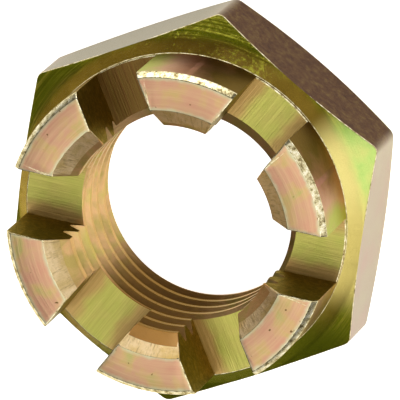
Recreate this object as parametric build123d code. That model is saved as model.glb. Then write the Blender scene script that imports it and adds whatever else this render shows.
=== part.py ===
from build123d import *
import math
import os

os.makedirs("parts", exist_ok=True)

# Castle nut, thin pattern, for an M16 x 1.5 thread, turned and milled from one piece.
# Origin at the centre of the bearing face, +Z towards the slotted crown,
# +X along one of the cotter slots. All sizes in millimetres, all angles in degrees.

# Hexagon
across_flats = 24.0          # wrench size
corner_radius = 0.6          # rounding on the six upright corners

# Heights above the bearing face
total_height = 12.0          # top of the castellations
slot_floor_z = 7.3           # floor of the cotter slots

# Bearing end: bevel on the hexagon's corners, leaving a flat ring
bearing_diameter = 22.8
bearing_bevel_angle = 30.0

# Crown end: a steep shoulder round the crown, then a shallow cone out to the corners
crown_diameter = 22.4
crown_base_drop = 0.25       # crown wall below the slot floor
shoulder_width = 0.85        # radial width of the steep shoulder
shoulder_angle = 45.0        # below the horizontal
cone_angle = 23.0            # below the horizontal
crown_rim = 0.35             # bevel on the crown's outer top edge
crown_root_radius = 0.15     # fillet where the crown meets the shoulder

# Cotter slots: three cuts straight across, six openings
slot_width = 4.5
slot_cuts = 3

# Bore: M16 x 1.5 at its minor diameter, countersunk at both ends
thread_pitch = 1.5
thread_major = 16.0
minor_per_pitch = 1.0825     # major less minor diameter of a 60 degree thread, per pitch
crown_countersink = 17.2
bearing_countersink = 17.3
countersink_angle = 45.0     # slope of both countersinks from the axis

# Room left round the part by the cutting tools
clear = 1.0


def tan(angle):
    return math.tan(math.radians(angle))


def turned(points):
    """Solid of revolution about Z through (radius, height) points."""
    with BuildPart() as body:
        with BuildSketch(Plane.XZ):
            with BuildLine():
                Polyline(*points, close=True)
            make_face()
        revolve(axis=Axis.Z)
    return body.part


def hexagon_bar():
    """Hexagonal bar with its flats square to the slots and its corners under the castellations."""
    with BuildPart() as bar:
        with BuildSketch():
            RegularPolygon(radius=across_flats / 2, side_count=6, major_radius=False, rotation=30)
        extrude(amount=total_height)
        fillet(bar.edges().filter_by(Axis.Z), corner_radius)
    return bar.part


def turned_outline():
    """Bearing bevel, cone, shoulder and crown, cut on the lathe."""
    stock_r = across_flats / 2 / math.cos(math.radians(30)) + clear
    bearing_r = bearing_diameter / 2
    crown_r = crown_diameter / 2
    shoulder_r = crown_r + shoulder_width
    crown_base_z = slot_floor_z - crown_base_drop
    shoulder_z = crown_base_z - shoulder_width * tan(shoulder_angle)
    body = turned([
        (0, 0),
        (bearing_r, 0),
        (stock_r, (stock_r - bearing_r) * tan(bearing_bevel_angle)),
        (stock_r, shoulder_z - (stock_r - shoulder_r) * tan(cone_angle)),
        (shoulder_r, shoulder_z),
        (crown_r, crown_base_z),
        (crown_r, total_height - crown_rim),
        (crown_r - crown_rim, total_height),
        (0, total_height),
    ])
    root = [
        edge for edge in body.edges().filter_by(GeomType.CIRCLE)
        if abs(edge.radius - crown_r) < 1e-4 and abs(edge.center().Z - crown_base_z) < 1e-4
    ]
    return fillet(root, crown_root_radius)


def bore():
    """Drilled hole at the thread's minor diameter with a countersink at each end."""
    minor_r = (thread_major - minor_per_pitch * thread_pitch) / 2
    crown_mouth_r = crown_countersink / 2
    bearing_mouth_r = bearing_countersink / 2
    slope = tan(countersink_angle)
    return turned([
        (0, -clear),
        (bearing_mouth_r + clear * slope, -clear),
        (minor_r, (bearing_mouth_r - minor_r) / slope),
        (minor_r, total_height - (crown_mouth_r - minor_r) / slope),
        (crown_mouth_r + clear * slope, total_height + clear),
        (0, total_height + clear),
    ])


def slot(turn):
    """One milled cut straight across the crown, turned about the axis."""
    depth = total_height - slot_floor_z + clear
    length = 2 * across_flats
    return Rot(0, 0, turn) * Pos(0, 0, slot_floor_z + depth / 2) * Box(length, slot_width, depth)


nut = hexagon_bar() & turned_outline()
nut -= bore()
for i in range(slot_cuts):
    nut -= slot(180 / slot_cuts * i)

export_step(nut, "parts/castle_nut.step")
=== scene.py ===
"""Castle nut, M16 x 1.5, yellow-chromated zinc on steel: finish, lighting and camera."""

import math

import bmesh
import bpy
from mathutils import Matrix, Vector
from mathutils.kdtree import KDTree


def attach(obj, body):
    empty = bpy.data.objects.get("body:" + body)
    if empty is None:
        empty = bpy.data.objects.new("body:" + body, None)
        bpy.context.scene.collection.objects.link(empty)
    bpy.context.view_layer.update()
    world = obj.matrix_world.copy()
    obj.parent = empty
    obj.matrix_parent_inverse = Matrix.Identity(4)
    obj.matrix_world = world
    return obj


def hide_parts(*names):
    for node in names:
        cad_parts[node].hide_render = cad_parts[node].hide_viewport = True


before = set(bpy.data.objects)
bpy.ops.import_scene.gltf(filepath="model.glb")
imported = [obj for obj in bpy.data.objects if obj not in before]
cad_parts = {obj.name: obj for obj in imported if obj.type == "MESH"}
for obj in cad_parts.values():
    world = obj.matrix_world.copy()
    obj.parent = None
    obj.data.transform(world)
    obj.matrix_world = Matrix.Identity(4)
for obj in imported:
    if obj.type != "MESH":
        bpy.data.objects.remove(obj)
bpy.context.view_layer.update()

MM = 0.001
NODE = "castle_nut"

# Driving sizes of the nut, in millimetres and degrees, as its construction states them
ACROSS_FLATS = 24.0
CORNER_RADIUS = 0.6
TOTAL_HEIGHT = 12.0
SLOT_FLOOR = 7.3
SLOT_WIDTH = 4.5
BEARING_RADIUS = 11.4
BEARING_BEVEL = 30.0
CROWN_RADIUS = 11.2
CROWN_BASE_DROP = 0.25
SHOULDER_WIDTH = 0.85
SHOULDER_ANGLE = 45.0
CONE_ANGLE = 23.0
CROWN_RIM = 0.35
CROWN_MOUTH_RADIUS = 8.6
BEARING_MOUTH_RADIUS = 8.65
PITCH = 1.5
MAJOR_RADIUS = 8.0
MINOR_PER_PITCH = 1.0825
MINOR_RADIUS = MAJOR_RADIUS - MINOR_PER_PITCH * PITCH / 2
# Height of the thread's root above the bearing face on the +X side, within one pitch
THREAD_START = SLOT_FLOOR % PITCH

# Small roundings that a tumbled and plated part has
EDGE = 0.12
SLOT_EDGE = 0.07
SHOULDER_EASE = 1.2

# Nearness at which a point lies on a slot's plane, a face on a surface, or a sliver beside an edge
TOUCH = 0.001
NEAR = 0.03
SLIVER = 0.09
# Height that the bearing bevel stays below, and how far the cutters reach past what they cut
BEARING_CORNER = 3.0
CUTTER_PAST = 1.0
THREAD_CUTTER_PAST = 0.22

# How finely the turned form is divided
FLAT_STEPS = 44
CORNER_STEPS = 6
ROUND_STEPS = 3
THREAD_STEPS = 120


def tan(degrees):
    return math.tan(math.radians(degrees))


# ---------------------------------------------------------------- outline

def hexagon_radius(angle):
    """Distance from the axis to the rounded hexagon, at an angle in radians from +X."""
    sector = math.radians(60)
    from_flat = (angle + sector / 2) % sector - sector / 2
    apothem = ACROSS_FLATS / 2
    inner = apothem - CORNER_RADIUS
    if abs(math.tan(from_flat)) * apothem <= inner * tan(30):
        return apothem / math.cos(from_flat)
    corner = inner / math.cos(sector / 2)
    off = abs(from_flat) - sector / 2
    return corner * math.cos(off) + math.sqrt(CORNER_RADIUS ** 2 - (corner * math.sin(off)) ** 2)


def crown_side_height(radius):
    """Height of the shoulder or the cone at a radius."""
    shoulder_end = CROWN_RADIUS + SHOULDER_WIDTH
    base = SLOT_FLOOR - CROWN_BASE_DROP
    if radius <= shoulder_end:
        return base - (radius - CROWN_RADIUS) * tan(SHOULDER_ANGLE)
    return base - SHOULDER_WIDTH * tan(SHOULDER_ANGLE) - (radius - shoulder_end) * tan(CONE_ANGLE)


def section(angle):
    """Corners of the nut's section at an angle, with the rounding of each: (radius, height, round)."""
    reach = hexagon_radius(angle)
    shoulder_end = min(reach, CROWN_RADIUS + SHOULDER_WIDTH)
    return [
        (MINOR_RADIUS, BEARING_MOUTH_RADIUS - MINOR_RADIUS, EDGE / 2),
        (BEARING_MOUTH_RADIUS, 0, EDGE / 2),
        (BEARING_RADIUS, 0, EDGE),
        (reach, (reach - BEARING_RADIUS) * tan(BEARING_BEVEL), EDGE),
        (reach, crown_side_height(reach), EDGE),
        (shoulder_end, crown_side_height(shoulder_end), SHOULDER_EASE),
        (CROWN_RADIUS, SLOT_FLOOR - CROWN_BASE_DROP, EDGE),
        (CROWN_RADIUS, TOTAL_HEIGHT - CROWN_RIM, EDGE),
        (CROWN_RADIUS - CROWN_RIM, TOTAL_HEIGHT, EDGE),
        (CROWN_MOUTH_RADIUS, TOTAL_HEIGHT, EDGE / 2),
        (MINOR_RADIUS, TOTAL_HEIGHT - (CROWN_MOUTH_RADIUS - MINOR_RADIUS), EDGE / 2),
    ]


def rounded(corners):
    """The closed outline through the corners, each drawn as a short arc."""
    outline = []
    for i, (x, y, radius) in enumerate(corners):
        here = Vector((x, y))
        back = Vector(corners[i - 1][:2]) - here
        ahead = Vector(corners[(i + 1) % len(corners)][:2]) - here
        room = 0.45 * min(back.length, ahead.length)
        if room < 1e-4:
            outline += [here] * (ROUND_STEPS + 1)
            continue
        back.normalize()
        ahead.normalize()
        half = back.angle(ahead) / 2
        reach = min(room, radius / math.tan(half))
        start = here + back * reach
        end = here + ahead * reach
        radius = reach * math.tan(half)
        centre = here + (back + ahead).normalized() * radius / math.sin(half)
        sweep = (start - centre).angle_signed(end - centre)
        for step in range(ROUND_STEPS + 1):
            turn = -sweep * step / ROUND_STEPS
            spoke = start - centre
            outline.append(centre + Vector((
                spoke.x * math.cos(turn) - spoke.y * math.sin(turn),
                spoke.x * math.sin(turn) + spoke.y * math.cos(turn),
            )))
    return outline


def column_angles():
    """Angles round the nut: even steps along each flat and finer ones round each corner."""
    tangent = math.atan((ACROSS_FLATS / 2 - CORNER_RADIUS) * tan(30) / (ACROSS_FLATS / 2))
    angles = []
    for side in range(6):
        middle = math.radians(60 * side)
        for step in range(FLAT_STEPS):
            angles.append(middle - tangent + 2 * tangent * step / FLAT_STEPS)
        for step in range(CORNER_STEPS):
            gap = math.radians(60) - 2 * tangent
            angles.append(middle + tangent + gap * step / CORNER_STEPS)
    return angles


# ---------------------------------------------------------------- solids

def mesh_object(name, bm):
    bmesh.ops.recalc_face_normals(bm, faces=bm.faces)
    mesh = bpy.data.meshes.new(name)
    bm.to_mesh(mesh)
    bm.free()
    thing = bpy.data.objects.new(name, mesh)
    bpy.context.scene.collection.objects.link(thing)
    return thing


def skin(bm, rings, closed):
    """Quads between neighbouring rings of vertices; each ring is a closed loop."""
    count = len(rings)
    for i in range(count if closed else count - 1):
        near, far = rings[i], rings[(i + 1) % count]
        for j in range(len(near)):
            k = (j + 1) % len(near)
            bm.faces.new((near[j], far[j], far[k], near[k]))


def turned_body():
    """The hexagon with its turned ends and plain bore, before slotting and tapping."""
    bm = bmesh.new()
    rings = []
    for angle in column_angles():
        across, up = math.cos(angle), math.sin(angle)
        rings.append([
            bm.verts.new((p.x * across, p.x * up, p.y)) for p in rounded(section(angle))
        ])
    skin(bm, rings, closed=True)
    bmesh.ops.remove_doubles(bm, verts=bm.verts, dist=1e-4)
    return mesh_object("castle_nut_body", bm)


def slot_cutter(turn):
    """A box straight across the crown, from the slot floor to above the top."""
    bm = bmesh.new()
    height = TOTAL_HEIGHT - SLOT_FLOOR + CUTTER_PAST
    bmesh.ops.create_cube(bm, size=1)
    size = Matrix.Diagonal((2 * ACROSS_FLATS, SLOT_WIDTH, height, 1))
    place = Matrix.Translation((0, 0, SLOT_FLOOR + height / 2))
    bmesh.ops.transform(bm, matrix=Matrix.Rotation(turn, 4, "Z") @ place @ size, verts=bm.verts)
    return mesh_object("slot_cutter", bm)


def thread_cutter():
    """Right-hand helix with a 60 degree section, whose tip cuts the thread's root."""
    tip = PITCH / 16
    inner = MINOR_RADIUS - THREAD_CUTTER_PAST
    half = tip + (MAJOR_RADIUS - inner) * tan(30)
    profile = [(MAJOR_RADIUS, -tip), (MAJOR_RADIUS, tip), (inner, half), (inner, -half)]
    turns = math.ceil((TOTAL_HEIGHT + 2 * PITCH) / PITCH)
    bm = bmesh.new()
    rings = []
    for step in range(turns * THREAD_STEPS + 1):
        angle = 2 * math.pi * step / THREAD_STEPS
        rise = PITCH * step / THREAD_STEPS - PITCH + THREAD_START
        rings.append([
            bm.verts.new((r * math.cos(angle), r * math.sin(angle), z + rise))
            for r, z in profile
        ])
    skin(bm, rings, closed=False)
    bm.faces.new(rings[0])
    bm.faces.new(reversed(rings[-1]))
    bmesh.ops.triangulate(bm, faces=bm.faces)
    return mesh_object("thread_cutter", bm)


def cut(piece, tool):
    """Takes the tool's solid out of the piece and removes the tool."""
    modifier = piece.modifiers.new("cut", "BOOLEAN")
    modifier.operation = "DIFFERENCE"
    modifier.solver = "EXACT"
    modifier.object = tool
    bpy.context.view_layer.update()
    result = bpy.data.meshes.new_from_object(piece.evaluated_get(bpy.context.evaluated_depsgraph_get()))
    piece.modifiers.clear()
    piece.data = result
    bpy.data.objects.remove(tool)


def on_slot_plane(point):
    """Whether a point lies on a wall or floor plane of a slot, above the floor's height."""
    if point.z < SLOT_FLOOR - TOUCH:
        return False
    if abs(point.z - SLOT_FLOOR) < TOUCH:
        return True
    for side in range(3):
        turn = math.radians(60 * side)
        across = point.y * math.cos(turn) - point.x * math.sin(turn)
        if abs(abs(across) - SLOT_WIDTH / 2) < TOUCH:
            return True
    return False


def gather_slivers(bm):
    """Draws points that lie just beside a slot's edge onto that edge, so that it can be rounded."""
    ordered = [v for v in bm.verts if on_slot_plane(v.co)]
    edge_points = KDTree(len(ordered))
    for i, vert in enumerate(ordered):
        edge_points.insert(vert.co, i)
    edge_points.balance()
    targets = {}
    for vert in bm.verts:
        if not on_slot_plane(vert.co):
            place, i, away = edge_points.find(vert.co)
            if away < SLIVER:
                targets[vert] = ordered[i]
    bmesh.ops.weld_verts(bm, targetmap=targets)


def ease_slot_edges(piece):
    """Rounds the outer edges that the slots leave; the corners between wall and floor stay sharp."""
    bm = bmesh.new()
    bm.from_mesh(piece.data)
    gather_slivers(bm)
    edges = [
        e for e in bm.edges
        if len(e.link_faces) == 2 and e.is_convex and e.calc_face_angle() > math.radians(20)
        and on_slot_plane(e.verts[0].co) and on_slot_plane(e.verts[1].co)
    ]
    bmesh.ops.bevel(
        bm, geom=edges, offset=SLOT_EDGE, offset_type="OFFSET", segments=2, profile=0.6,
        affect="EDGES", clamp_overlap=False,
    )
    bm.to_mesh(piece.data)
    bm.free()


def build_nut():
    nut = turned_body()
    for side in range(3):
        cut(nut, slot_cutter(math.radians(60 * side)))
    ease_slot_edges(nut)
    cut(nut, thread_cutter())
    nut.data.transform(Matrix.Scale(MM, 4))
    nut.name = "plated_castle_nut"
    nut.data.name = nut.name
    return nut


# ---------------------------------------------------------------- regions of the surface

def slot_places(point):
    """Distance along and across each slot's centre line, for a point in millimetres."""
    for side in range(3):
        turn = math.radians(60 * side)
        along = point.x * math.cos(turn) + point.y * math.sin(turn)
        across = point.y * math.cos(turn) - point.x * math.sin(turn)
        yield along, across


def region_of(centre, normal):
    """Which machined surface a face belongs to, from its centre in millimetres and its normal."""
    radius = centre.xy.length
    outward = normal.xy.dot(centre.xy) / radius
    level = abs(normal.z)
    if level > 0.99:
        if centre.z > TOTAL_HEIGHT - NEAR:
            return "top"
        if abs(centre.z - SLOT_FLOOR) < NEAR:
            return "slot_floor"
        if centre.z < NEAR:
            return "bearing"
    if level < 0.02:
        on_wall = any(abs(abs(across) - SLOT_WIDTH / 2) < NEAR for _, across in slot_places(centre))
        if centre.z > SLOT_FLOOR and on_wall:
            return "slot_wall"
        if radius > ACROSS_FLATS / 2 - NEAR and centre.z < SLOT_FLOOR:
            return "flat"
        if abs(radius - CROWN_RADIUS) < NEAR:
            return "crown_wall"
    below_mouth = centre.z < TOTAL_HEIGHT - MAJOR_RADIUS + MINOR_RADIUS
    if radius < MAJOR_RADIUS + NEAR and below_mouth and outward < 0.5:
        return "thread"
    if outward < -0.5:
        return "countersink"
    if outward > 0 and centre.z < SLOT_FLOOR - CROWN_BASE_DROP:
        if abs(normal.z + math.cos(math.radians(BEARING_BEVEL))) < 0.02:
            return "bearing_bevel"
        steepest = math.cos(math.radians(SHOULDER_ANGLE)) - 0.02
        shallowest = math.cos(math.radians(CONE_ANGLE)) + 0.02
        if steepest < normal.z < shallowest and centre.z > BEARING_CORNER:
            return "cone"
    return "edge"


def mark_regions(piece, materials):
    """Gives each face the finish of its region, and writes the slots' own directions for milling lines."""
    mesh = piece.data
    names = list(materials)
    mesh.materials.clear()
    for name in names:
        mesh.materials.append(materials[name])
    grain = mesh.attributes.new("slot_place", "FLOAT_VECTOR", "CORNER")
    for polygon in mesh.polygons:
        centre = polygon.center / MM
        polygon.material_index = names.index(region_of(centre, polygon.normal))
        places = list(slot_places(centre))
        side = min(range(3), key=lambda k: abs(places[k][1]))
        for corner in polygon.loop_indices:
            point = mesh.vertices[mesh.loops[corner].vertex_index].co / MM
            along, across = list(slot_places(point))[side]
            grain.data[corner].vector = (along, across, point.z)


# ---------------------------------------------------------------- finish, with light and shade painted on some sides

# Colour of the reflection at grazing angles, under the film and on the smoother flats
FILM_TINT = (0.86, 0.76, 0.52, 1)
FLAT_TINT = (0.95, 0.91, 0.83, 1)


def linear(red, green, blue):
    """A colour written in 0 to 255 display values, as the shader takes it."""
    def channel(value):
        value /= 255
        return value / 12.92 if value <= 0.04045 else ((value + 0.055) / 1.055) ** 2.4
    return channel(red), channel(green), channel(blue), 1


class Finish:
    """A plated surface whose nodes are added one at a time."""

    def __init__(self, name, roughness):
        self.material = bpy.data.materials.new(name)
        self.material.use_nodes = True
        self.tree = self.material.node_tree
        self.shader = self.tree.nodes["Principled BSDF"]
        self.shader.inputs["Metallic"].default_value = 1
        self.shader.inputs["Roughness"].default_value = roughness
        self.shader.inputs["Specular Tint"].default_value = FILM_TINT
        self.height = None
        coordinates = self.tree.nodes.new("ShaderNodeTexCoord")
        self.place = self.vector("SCALE", coordinates.outputs["Object"], 1 / MM)

    def link(self, source, target):
        if hasattr(source, "is_output"):
            self.tree.links.new(source, target)
        else:
            target.default_value = source

    def math(self, operation, *values):
        node = self.tree.nodes.new("ShaderNodeMath")
        node.operation = operation
        for socket, value in zip(node.inputs, values):
            self.link(value, socket)
        return node.outputs[0]

    def vector(self, operation, first, second):
        node = self.tree.nodes.new("ShaderNodeVectorMath")
        node.operation = operation
        self.link(first, node.inputs[0])
        self.link(second, node.inputs["Scale"] if operation == "SCALE" else node.inputs[1])
        return node.outputs["Value"] if operation == "DOT_PRODUCT" else node.outputs["Vector"]

    def split(self, vector):
        node = self.tree.nodes.new("ShaderNodeSeparateXYZ")
        self.link(vector, node.inputs[0])
        return node.outputs

    def join(self, x, y, z):
        node = self.tree.nodes.new("ShaderNodeCombineXYZ")
        for socket, value in zip(node.inputs, (x, y, z)):
            self.link(value, socket)
        return node.outputs[0]

    def noise(self, vector, scale, detail=3, roughness=0.55, distortion=0):
        node = self.tree.nodes.new("ShaderNodeTexNoise")
        self.link(vector, node.inputs["Vector"])
        node.inputs["Scale"].default_value = scale
        node.inputs["Detail"].default_value = detail
        node.inputs["Roughness"].default_value = roughness
        node.inputs["Distortion"].default_value = distortion
        return node.outputs["Fac"]

    def remap(self, value, low, high, to_low=0, to_high=1):
        node = self.tree.nodes.new("ShaderNodeMapRange")
        node.interpolation_type = "SMOOTHSTEP"
        for socket, given in zip(node.inputs, (value, low, high, to_low, to_high)):
            self.link(given, socket)
        return node.outputs[0]

    def ramp(self, value, stops):
        node = self.tree.nodes.new("ShaderNodeValToRGB")
        self.link(value, node.inputs[0])
        marks = node.color_ramp.elements
        while len(marks) < len(stops):
            marks.new(0.5)
        for mark, (position, colour) in zip(marks, stops):
            mark.position = position
            mark.color = linear(*colour)
        return node.outputs[0]

    def mix(self, amount, first, second):
        node = self.tree.nodes.new("ShaderNodeMix")
        node.data_type = "RGBA"
        self.link(amount, node.inputs[0])
        self.link(linear(*first) if isinstance(first, tuple) else first, node.inputs[6])
        self.link(linear(*second) if isinstance(second, tuple) else second, node.inputs[7])
        return node.outputs[2]

    def radius(self):
        x, y, z = self.split(self.place)
        return self.math("SQRT", self.math("ADD", self.math("MULTIPLY", x, x), self.math("MULTIPLY", y, y)))

    def facing(self, azimuth, low, high):
        """1 on the side of the nut that faces an azimuth in degrees, fading to 0 the other way."""
        turn = math.radians(azimuth)
        x, y, z = self.split(self.place)
        flat = self.vector("NORMALIZE", self.join(x, y, 0), (0, 0, 0))
        cosine = self.vector("DOT_PRODUCT", flat, (math.cos(turn), math.sin(turn), 0))
        return self.remap(cosine, low, high)

    def turning_lines(self, pitch, waver=0.08):
        """Lines round the axis that a lathe tool leaves, by radius and height."""
        x, y, z = self.split(self.place)
        across = self.math("DIVIDE", self.math("ADD", self.radius(), z), pitch)
        soft = self.vector("SCALE", self.place, waver)
        sx, sy, sz = self.split(soft)
        return self.noise(self.join(across, sx, sy), 1, detail=4, roughness=0.7)

    def slot_place(self):
        """Distance along and across the nearest slot, and height, in millimetres."""
        node = self.tree.nodes.new("ShaderNodeAttribute")
        node.attribute_name = "slot_place"
        return self.split(node.outputs["Vector"])

    def milling_lines(self, pitch, waver=0.15):
        """Lines along a slot that a cutter leaves."""
        along, across, up = self.slot_place()
        lines = self.join(
            self.math("MULTIPLY", along, waver),
            self.math("DIVIDE", across, pitch),
            self.math("DIVIDE", up, pitch),
        )
        return self.noise(lines, 1, detail=4, roughness=0.7)

    def bump(self, height, depth):
        """Adds a relief of the height's range times depth, in millimetres."""
        node = self.tree.nodes.new("ShaderNodeBump")
        node.inputs["Distance"].default_value = depth * MM
        self.link(height, node.inputs["Height"])
        if self.height:
            self.link(self.height, node.inputs["Normal"])
        self.height = node.outputs["Normal"]

    def done(self, colour, roughness=None):
        self.link(colour, self.shader.inputs["Base Color"])
        if roughness:
            self.link(roughness, self.shader.inputs["Roughness"])
        if self.height:
            self.link(self.height, self.shader.inputs["Normal"])
        return self.material


def flat_finish_with_shade():
    """Drawn hexagon sides: smooth and pale, with one side in a brown film that also carries painted shade.
    """
    f = Finish("zinc_flats", 0.42)
    f.shader.inputs["Specular Tint"].default_value = FLAT_TINT
    cloud = f.noise(f.place, 0.35, detail=3)
    pale = f.ramp(cloud, [(0.3, (166, 154, 128)), (0.5, (164, 148, 126)), (0.7, (168, 142, 126))])
    grey = f.mix(f.facing(60, 0.80, 0.93), pale, (124, 116, 92))
    mottle = f.noise(f.place, 1.8, detail=8, roughness=0.8)
    brown = f.ramp(mottle, [(0.34, (56, 30, 16)), (0.5, (78, 48, 27)), (0.64, (100, 78, 40))])
    # Dark brown and matte on the +X side: partly the film's colour and partly painted shade.
    film_and_shade_side = f.facing(0, 0.845, 0.885)
    colour = f.mix(film_and_shade_side, grey, brown)
    f.bump(f.noise(f.place, 5, detail=6, roughness=0.7), 0.02)
    return f.done(colour, f.remap(film_and_shade_side, 0, 1, 0.38, 0.6))


def cone_finish_with_light_and_shade():
    """Turned cone and shoulder: a green film over tool lines, golden beside the crown, with painted light
    and shade over the film's colours: pale green and gold on the side towards -48 degrees, paler gold
    towards -72, dark olive and bronze elsewhere, and very dark olive towards -130.
    """
    f = Finish("zinc_cone", 0.3)
    lines = f.turning_lines(0.15)
    cloud = f.noise(f.place, 0.5, detail=4)
    uneven = f.math("ADD", f.radius(), f.math("MULTIPLY", f.noise(f.place, 0.6), 0.8))
    near_crown = f.remap(uneven, 12.1, 12.9, 1, 0)
    olive = f.ramp(lines, [(0.3, (76, 82, 10)), (0.5, (112, 114, 20)), (0.75, (186, 166, 64))])
    bronze = f.ramp(lines, [(0.3, (84, 66, 16)), (0.5, (122, 98, 34)), (0.75, (186, 158, 74))])
    # Dark olive and bronze stand for the painted shaded side of the cone, and pale green and gold below for
    # its painted lit side.
    shaded_olive_side = f.mix(near_crown, olive, bronze)
    green = f.ramp(cloud, [(0.3, (158, 196, 98)), (0.5, (184, 206, 112)), (0.7, (206, 206, 120))])
    light = f.mix(near_crown, green, (226, 210, 128))
    # Painted light: paler gold on the side towards -72 degrees.
    golden = f.mix(f.facing(-72, 0.82, 0.98), light, (212, 192, 108))
    # Painted light and shade: the pale side faces -48 degrees, and the dark side is the rest of the way
    # round.
    colour = f.mix(f.facing(-48, 0.8, 0.94), shaded_olive_side, golden)
    torn = f.noise(f.place, 2.6, detail=8, roughness=0.8)
    flecks = f.math("MULTIPLY", f.remap(f.math("ADD", torn, lines), 1.04, 1.2), f.facing(34, 0.84, 0.97))
    colour = f.mix(flecks, colour, (206, 204, 70))
    # Painted shade: very dark olive on the side towards -130 degrees.
    colour = f.mix(f.facing(-130, 0.55, 0.85), colour, (72, 76, 10))
    f.bump(lines, 0.03)
    f.bump(f.math("MULTIPLY", torn, f.facing(35, 0.7, 0.97)), 0.28)
    f.bump(torn, 0.05)
    return f.done(colour)


def crown_wall_finish_with_shade():
    """Side of the castellations: smooth, green going to mauve and dark towards +X, partly the film's colour
    and partly a painted dark reflection and shade.
    """
    f = Finish("zinc_crown_wall", 0.3)
    cloud = f.noise(f.place, 0.4, detail=4, distortion=0.6)
    turn = f.math("ADD", f.facing(0, 0.6, 1.0), f.math("MULTIPLY", f.math("SUBTRACT", cloud, 0.5), 0.5))
    # Towards +X the wall goes from green through mauve to dark brown. The colours are partly the film's,
    # and the darkening is painted reflection and shade.
    film_and_shade_front = f.ramp(turn, [
        (0.15, (150, 162, 88)), (0.4, (172, 134, 120)), (0.65, (138, 92, 86)), (0.92, (72, 52, 30)),
    ])
    rest = f.ramp(cloud, [
        (0.34, (146, 144, 76)), (0.48, (182, 154, 100)), (0.6, (164, 126, 96)), (0.72, (128, 122, 62)),
    ])
    colour = f.mix(f.facing(0, 0.3, 0.62), rest, film_and_shade_front)
    f.bump(f.noise(f.place, 3, detail=5), 0.02)
    return f.done(colour)


def top_finish():
    """Faced tops of the castellations: pink to gold, pale at their borders."""
    f = Finish("zinc_tops", 0.36)
    cloud = f.noise(f.place, 0.5, detail=3, distortion=0.4)
    lines = f.turning_lines(0.22, waver=0.12)
    field = f.ramp(cloud, [
        (0.34, (192, 142, 114)), (0.48, (192, 148, 116)), (0.58, (190, 158, 106)), (0.72, (168, 162, 96)),
    ])
    field = f.mix(f.remap(lines, 0.4, 0.66, 0, 0.45), field, (204, 170, 130))
    radius = f.radius()
    middle = (CROWN_MOUTH_RADIUS + CROWN_RADIUS - CROWN_RIM) / 2
    half = (CROWN_RADIUS - CROWN_RIM - CROWN_MOUTH_RADIUS) / 2
    from_rim = f.math("SUBTRACT", half, f.math("ABSOLUTE", f.math("SUBTRACT", radius, middle)))
    nearest = from_rim
    for side in range(3):
        turn = math.radians(60 * side)
        across = f.vector("DOT_PRODUCT", f.place, (-math.sin(turn), math.cos(turn), 0))
        from_wall = f.math("SUBTRACT", f.math("ABSOLUTE", across), SLOT_WIDTH / 2)
        nearest = f.math("MINIMUM", nearest, from_wall)
    ragged = f.math("ADD", nearest, f.math("MULTIPLY", f.noise(f.place, 1.5, detail=6), 0.5))
    border = f.remap(ragged, 0.15, 0.55, 1, 0)
    colour = f.mix(border, field, (190, 188, 150))
    pits = f.remap(f.noise(f.place, 2.3, detail=1), 0.74, 0.78)
    colour = f.mix(pits, colour, (112, 88, 52))
    f.bump(lines, 0.012)
    return f.done(colour)


def slot_floor_finish_with_shade():
    """Milled floors: green down the middle and tan beside the walls, with cutter lines, and painted shade
    in dark brown on the floor towards 60 degrees.
    """
    f = Finish("zinc_slot_floors", 0.34)
    lines = f.milling_lines(0.09)
    off = f.math("ABSOLUTE", f.slot_place()[1])
    uneven = f.math("MULTIPLY", f.noise(f.place, 0.7, detail=3), 1.2)
    margin = f.remap(f.math("ADD", off, uneven), 1.5, 2.4)
    green = f.mix(f.noise(f.place, 0.8, detail=3), (174, 182, 82), (200, 182, 104))
    colour = f.mix(margin, green, (190, 156, 96))
    # Painted shade: the slot floor towards 60 degrees goes dark brown.
    colour = f.mix(f.facing(60, 0.9, 0.99), colour, (98, 70, 36))
    dark = f.remap(lines, 0.35, 0.65, 0.35, 0)
    colour = f.mix(dark, colour, (126, 112, 52))
    f.bump(lines, 0.02)
    return f.done(colour)


def slot_wall_finish():
    """Milled walls of the slots: olive, torn a little by the cutter."""
    f = Finish("zinc_slot_walls", 0.4)
    mottle = f.noise(f.place, 3, detail=7, roughness=0.7)
    colour = f.ramp(mottle, [(0.3, (84, 74, 20)), (0.5, (110, 94, 34)), (0.7, (148, 124, 56))])
    f.bump(mottle, 0.03)
    return f.done(colour)


def thread_finish_with_shade():
    """Cut thread: golden to tan, with painted shade in brown on the side towards -162 degrees."""
    f = Finish("zinc_thread", 0.28)
    cloud = f.noise(f.place, 0.45, detail=4, distortion=0.5)
    colour = f.ramp(cloud, [(0.34, (172, 150, 86)), (0.5, (204, 162, 112)), (0.66, (184, 166, 92))])
    # Painted shade: brown on the side of the bore towards -162 degrees.
    colour = f.mix(f.facing(-162, 0.72, 0.97), colour, (124, 90, 46))
    f.bump(f.noise(f.place, 3.5, detail=7, roughness=0.75), 0.03)
    return f.done(colour)


def countersink_finish():
    """Countersinks: pale gold, with scores running down the slope."""
    f = Finish("zinc_countersinks", 0.28)
    x, y, z = f.split(f.place)
    around = f.vector("NORMALIZE", f.join(x, y, 0), (0, 0, 0))
    ax, ay, az = f.split(f.vector("SCALE", around, CROWN_MOUTH_RADIUS / 0.14))
    scores = f.noise(f.join(ax, ay, f.math("MULTIPLY", z, 1.6)), 1, detail=4, roughness=0.7)
    cloud = f.noise(f.place, 0.45, detail=4, distortion=0.5)
    colour = f.ramp(cloud, [(0.34, (202, 174, 116)), (0.5, (228, 202, 156)), (0.66, (208, 176, 110))])
    colour = f.mix(f.remap(scores, 0.52, 0.66, 0, 0.45), colour, (128, 96, 40))
    f.bump(scores, 0.05)
    f.bump(f.noise(f.place, 3.5, detail=7, roughness=0.75), 0.05)
    return f.done(colour)


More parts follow.
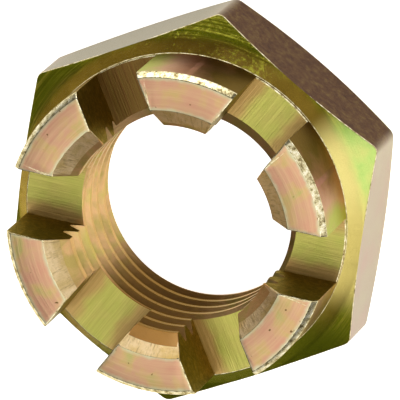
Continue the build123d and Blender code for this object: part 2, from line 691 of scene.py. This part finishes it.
def edge_finish():
    """Rounded edges, where the film is thin and the zinc shows pale."""
    f = Finish("zinc_edges", 0.25)
    mottle = f.noise(f.place, 2.5, detail=6, roughness=0.7)
    colour = f.ramp(mottle, [(0.38, (112, 96, 58)), (0.5, (196, 184, 142)), (0.62, (224, 216, 188))])
    return f.done(colour)


nut = build_nut()
for polygon in nut.data.polygons:
    polygon.use_smooth = True
nut.data.set_sharp_from_angle(angle=math.radians(28))
nut.modifiers.new("even_normals", "WEIGHTED_NORMAL").keep_sharp = True
cone = cone_finish_with_light_and_shade()
top = top_finish()
mark_regions(nut, {
    "flat": flat_finish_with_shade(),
    "cone": cone,
    "crown_wall": crown_wall_finish_with_shade(),
    "top": top,
    "slot_floor": slot_floor_finish_with_shade(),
    "slot_wall": slot_wall_finish(),
    "thread": thread_finish_with_shade(),
    "countersink": countersink_finish(),
    "bearing": top,
    "bearing_bevel": cone,
    "edge": edge_finish(),
})
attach(nut, "root")
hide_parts(NODE)


# ---------------------------------------------------------------- stage, light, camera

# Brightness of the floor by itself, to which the lamps add the rest up to white
FLOOR_GLOW = 0.94
FLOOR_HALF = 2
FLOOR_GAP = 0.00002


def floor():
    """Pale floor: white where the camera and reflections see it, with the nut's soft shadow kept."""
    bm = bmesh.new()
    bmesh.ops.create_grid(bm, x_segments=1, y_segments=1, size=FLOOR_HALF)
    thing = mesh_object("floor", bm)
    thing.location.z = -FLOOR_GAP
    material = bpy.data.materials.new("floor_white")
    material.use_nodes = True
    tree = material.node_tree
    diffuse = tree.nodes["Principled BSDF"]
    diffuse.inputs["Base Color"].default_value = (0.8, 0.8, 0.8, 1)
    diffuse.inputs["Roughness"].default_value = 0.9
    glow = tree.nodes.new("ShaderNodeEmission")
    rays = tree.nodes.new("ShaderNodeLightPath")
    seen = tree.nodes.new("ShaderNodeMath")
    seen.operation = "MAXIMUM"
    tree.links.new(rays.outputs["Is Camera Ray"], seen.inputs[0])
    tree.links.new(rays.outputs["Is Glossy Ray"], seen.inputs[1])
    through = tree.nodes.new("ShaderNodeMath")
    through.operation = "MAXIMUM"
    tree.links.new(seen.outputs[0], through.inputs[0])
    tree.links.new(rays.outputs["Is Transmission Ray"], through.inputs[1])
    level = tree.nodes.new("ShaderNodeMath")
    level.operation = "MULTIPLY"
    level.inputs[1].default_value = FLOOR_GLOW
    tree.links.new(through.outputs[0], level.inputs[0])
    tree.links.new(level.outputs[0], glow.inputs["Strength"])
    both = tree.nodes.new("ShaderNodeAddShader")
    tree.links.new(diffuse.outputs[0], both.inputs[0])
    tree.links.new(glow.outputs[0], both.inputs[1])
    tree.links.new(both.outputs[0], tree.nodes["Material Output"].inputs["Surface"])
    thing.data.materials.append(material)


floor()


def softbox(name, azimuth, elevation, distance, width, height, radiance):
    """A soft rectangle of light that faces the nut from an azimuth and elevation in degrees."""
    light = bpy.data.lights.new(name, "AREA")
    light.shape = "RECTANGLE"
    light.size = width
    light.size_y = height
    light.energy = radiance * math.pi * width * height
    thing = bpy.data.objects.new(name, light)
    away = Vector((
        math.cos(math.radians(elevation)) * math.cos(math.radians(azimuth)),
        math.cos(math.radians(elevation)) * math.sin(math.radians(azimuth)),
        math.sin(math.radians(elevation)),
    ))
    thing.location = away * distance + Vector((0, 0, SLOT_FLOOR * MM))
    thing.rotation_euler = away.to_track_quat("Z", "Y").to_euler()
    bpy.context.scene.collection.objects.link(thing)


softbox(
    "overhead", azimuth=-98, elevation=71, distance=0.5,
    width=0.6, height=0.6, radiance=1.65,
)
softbox(
    "low", azimuth=50, elevation=18, distance=0.4,
    width=0.42, height=0.16, radiance=3.4,
)
softbox(
    "fill", azimuth=-45, elevation=25, distance=0.45,
    width=0.5, height=0.26, radiance=1.3,
)

world = bpy.data.worlds.new("studio")
bpy.context.scene.world = world
world.use_nodes = True
world.node_tree.nodes["Background"].inputs["Color"].default_value = (1, 1, 1, 1)
world.node_tree.nodes["Background"].inputs["Strength"].default_value = 0.22

# The photograph's view: a long lens above the crown, leaning towards one slot
CAMERA_AZIMUTH = -6.9
CAMERA_ELEVATION = 66.5
CAMERA_ROLL = -132.8
CAMERA_DISTANCE = 0.6
SENSOR_WIDTH = 36
FRAME_WIDTH = 26.79          # millimetres of the object's plane that the picture spans
AIM_RIGHT = 0.99             # picture's centre from the slot floors' centre
AIM_UP = 1.065


def camera():
    azimuth = math.radians(CAMERA_AZIMUTH)
    elevation = math.radians(CAMERA_ELEVATION)
    roll = math.radians(CAMERA_ROLL)
    back = Vector((
        math.cos(elevation) * math.cos(azimuth),
        math.cos(elevation) * math.sin(azimuth),
        math.sin(elevation),
    ))
    level = Vector((-math.sin(azimuth), math.cos(azimuth), 0))
    upright = back.cross(level)
    right = level * math.cos(roll) + upright * math.sin(roll)
    up = back.cross(right)
    data = bpy.data.cameras.new("camera")
    data.sensor_width = SENSOR_WIDTH
    data.lens = data.sensor_width * CAMERA_DISTANCE / (FRAME_WIDTH * MM)
    thing = bpy.data.objects.new("camera", data)
    aim = Vector((0, 0, SLOT_FLOOR)) + right * AIM_RIGHT + up * AIM_UP
    turn = Matrix((right, up, back)).transposed().to_4x4()
    thing.matrix_world = Matrix.Translation(aim * MM + back * CAMERA_DISTANCE) @ turn
    bpy.context.scene.collection.objects.link(thing)
    bpy.context.scene.camera = thing


camera()
bpy.context.scene.view_settings.view_transform = "Standard"
